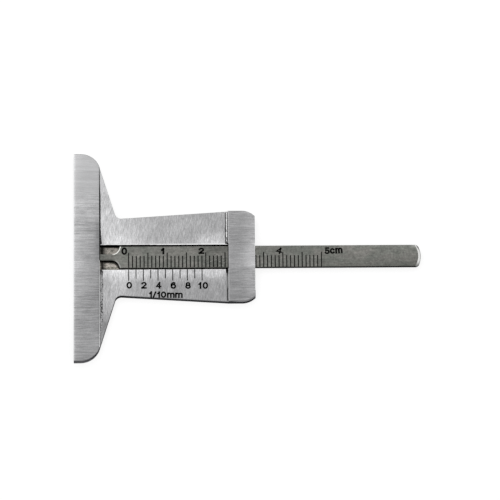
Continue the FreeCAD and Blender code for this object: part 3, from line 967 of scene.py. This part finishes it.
def foot_section(side, along):
    """A fillet that narrows outwards on the upper cheek, and a wide low run of filler on the lower."""
    if side > 0:
        span = (along - CHANNEL_HALF) / (FOOT_LINE_END - CHANNEL_HALF)
        narrow = min(1, max(FOOT_LINE_LEAST, FOOT_LINE_PACE * (1 - span)))
        wide = max(0, 1 - FOOT_LINE_PACE * span)
        return hollow_fillet(FOOT_LINE_WIDTH * narrow + FOOT_LINE_EXTRA * wide)
    taper = min(1, max(FOOT_RUN_LEAST, (FOOT_RUN_END - along) / FOOT_RUN_TAPER))
    return [(reach * taper + SEAM_GAP, height) for reach, height in in_metres(FOOT_RUN)]


def end_section(side, along):
    """A round ridge between two hollows on the upper cheek, and a low hollow run on the lower."""
    if side < 0:
        return in_metres(END_RUN)
    ridge = [
        (RIDGE_MIDDLE[0] - RIDGE_RADII[0] * math.cos(a), RIDGE_MIDDLE[1] + RIDGE_RADII[1] * math.sin(a))
        for a in map(math.radians, RIDGE_ANGLES)
    ]
    return in_metres(RIDGE_START + ridge + RIDGE_FINISH)


def outline_half(x):
    """Half the frame's width at x along the flare."""
    return NECK_HALF + (NECK_X - x) / FLARE_SLOPE


FOOT_SEAM_REACH = 0.5 * MM
FOOT_SEAM_INSET = 0.12 * MM  # from the frame's outline
END_SEAM_INSET = 0.25 * MM

dress(frame["nodes"]["frame"], frame_steel())
dress(frame["nodes"]["foot_cover"], foot_steel())
dress(frame["nodes"]["end_cover"], end_steel())
dress(frame["nodes"]["depth_rule"], rule_steel())
dress(frame["nodes"]["friction_spring"], spring_bronze())

enamel = ink()
piece("rule_marks", rule_marks(), enamel, "rule")
rule_figures = lettering("rule_figures", RULE_LABELS, RULE_TOP)
piece("rule_figures", rule_figures, enamel, "rule")
piece("vernier_marks", vernier_marks(), enamel, "frame")
vernier_figures = lettering("vernier_figures", vernier_labels(), CHEEK_TOP)
piece("vernier_figures", vernier_figures, enamel, "frame")

# The foot seam's run on the upper cheek is a dark strip of painted shade beside the cover.
foot_outer = outline_half(COVER_EDGE + FOOT_SEAM_REACH) - FOOT_SEAM_INSET
foot_mesh = seam("foot_seam", COVER_EDGE, 1, foot_outer, foot_section, 1.7)
foot_finish = seam_metal("foot_seam", COVER_EDGE, 1, foot_seam_look)
foot_seam = piece("foot_seam", foot_mesh, foot_finish, "frame")
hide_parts("foot_braze")
end_outer = END_COVER_HALF - END_SEAM_INSET
end_mesh = seam("end_seam", END_COVER_EDGE, -1, end_outer, end_section, 4.1)
end_finish = seam_metal("end_seam", END_COVER_EDGE, -1, end_seam_look)
end_seam = piece("end_seam", end_mesh, end_finish, "frame")
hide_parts("end_braze")


def seen_directly(tree):
    """One for camera rays and for rays that metal or glass sends on, else nothing."""
    path = tree.nodes.new("ShaderNodeLightPath")
    either = path.outputs["Is Camera Ray"]
    for kind in ("Is Glossy Ray", "Is Transmission Ray"):
        larger = tree.nodes.new("ShaderNodeMath")
        larger.operation = "MAXIMUM"
        tree.links.new(either, larger.inputs[0])
        tree.links.new(path.outputs[kind], larger.inputs[1])
        either = larger.outputs[0]
    return either


FLOOR_GAP = 0.02 * MM  # keeps the floor clear of the frame's flat back
FLOOR_HALF = 4
FLOOR_COLOUR = (0.3, 0.3, 0.3, 1)
FLOOR_GLOW = 0.8
WORLD_LEVEL = 0.75
KEY_PLACE, KEY_AIM = (-0.03, 0.11, 0.12), (0.02, 0.02, 0.0)
KEY_SIZE, KEY_POWER = 0.09, 0.04


def floor():
    """A pale floor that looks white and keeps a faint shadow."""
    corners = ((-1, -1), (1, -1), (1, 1), (-1, 1))
    points = [(x * FLOOR_HALF, y * FLOOR_HALF, -FLOOR_GAP) for x, y in corners]
    mesh = joined("floor", [(points, [(0, 1, 2, 3)])])
    made = bpy.data.objects.new("floor", mesh)
    bpy.context.scene.collection.objects.link(made)
    material = bpy.data.materials.new("floor")
    material.use_nodes = True
    tree = material.node_tree
    tree.nodes.clear()
    diffuse = tree.nodes.new("ShaderNodeBsdfDiffuse")
    diffuse.inputs["Color"].default_value = FLOOR_COLOUR
    glow = tree.nodes.new("ShaderNodeEmission")
    strength = tree.nodes.new("ShaderNodeMapRange")
    strength.inputs["To Max"].default_value = FLOOR_GLOW
    tree.links.new(seen_directly(tree), strength.inputs["Value"])
    tree.links.new(strength.outputs[0], glow.inputs["Strength"])
    both = tree.nodes.new("ShaderNodeAddShader")
    out = tree.nodes.new("ShaderNodeOutputMaterial")
    tree.links.new(diffuse.outputs[0], both.inputs[0])
    tree.links.new(glow.outputs[0], both.inputs[1])
    tree.links.new(both.outputs[0], out.inputs["Surface"])
    made.data.materials.append(material)


def world():
    """White to the camera and in reflections, and a plain level for all other light."""
    made = bpy.data.worlds.new("studio")
    bpy.context.scene.world = made
    made.use_nodes = True
    tree = made.node_tree
    background = tree.nodes["Background"]
    background.inputs["Color"].default_value = (1, 1, 1, 1)
    strength = tree.nodes.new("ShaderNodeMapRange")
    strength.inputs["To Min"].default_value = WORLD_LEVEL
    strength.inputs["To Max"].default_value = 1.0
    tree.links.new(seen_directly(tree), strength.inputs["Value"])
    tree.links.new(strength.outputs[0], background.inputs["Strength"])


def key_light():
    """A small soft lamp above and beyond the foot's +Y end."""
    data = bpy.data.lights.new("key", "AREA")
    data.shape = "SQUARE"
    data.size = KEY_SIZE
    data.energy = KEY_POWER
    made = bpy.data.objects.new("key", data)
    bpy.context.scene.collection.objects.link(made)
    made.location = KEY_PLACE
    made.rotation_euler = (Vector(KEY_AIM) - Vector(KEY_PLACE)).to_track_quat("-Z", "Y").to_euler()
    made.visible_camera = False


floor()
world()
key_light()

# The photograph looks down from the -Y side, 20 degrees off the vertical
CAMERA_AZIMUTH = math.radians(-3.3)
CAMERA_ELEVATION = math.radians(69.9)
CAMERA_ROLL = math.radians(2.77)
CAMERA_DISTANCE = 1.2
PIXELS_PER_MM = 3.854
FRAME_PIXELS = 500
SENSOR = 36.0  # millimetres
AIM_MIDDLE = Vector((45.5, 0.0, 1.0)) * MM
AIM_RIGHT = 0.18 * MM
AIM_UP = 1.85 * MM


def camera():
    back = Vector(
        (
            math.sin(CAMERA_AZIMUTH) * math.cos(CAMERA_ELEVATION),
            -math.cos(CAMERA_AZIMUTH) * math.cos(CAMERA_ELEVATION),
            math.sin(CAMERA_ELEVATION),
        )
    )
    level_right = Vector((math.cos(CAMERA_AZIMUTH), math.sin(CAMERA_AZIMUTH), 0))
    level_up = back.cross(level_right)
    right = math.cos(CAMERA_ROLL) * level_right + math.sin(CAMERA_ROLL) * level_up
    up = back.cross(right)
    data = bpy.data.cameras.new("camera")
    data.sensor_width = SENSOR
    data.lens = PIXELS_PER_MM / MM * CAMERA_DISTANCE / FRAME_PIXELS * SENSOR
    made = bpy.data.objects.new("camera", data)
    bpy.context.scene.collection.objects.link(made)
    place = AIM_MIDDLE + right * AIM_RIGHT + up * AIM_UP + back * CAMERA_DISTANCE
    turned = Matrix((right, up, back)).transposed().to_4x4()
    made.matrix_world = Matrix.Translation(place) @ turned
    bpy.context.scene.camera = made


camera()
bpy.context.scene.view_settings.view_transform = "Standard"
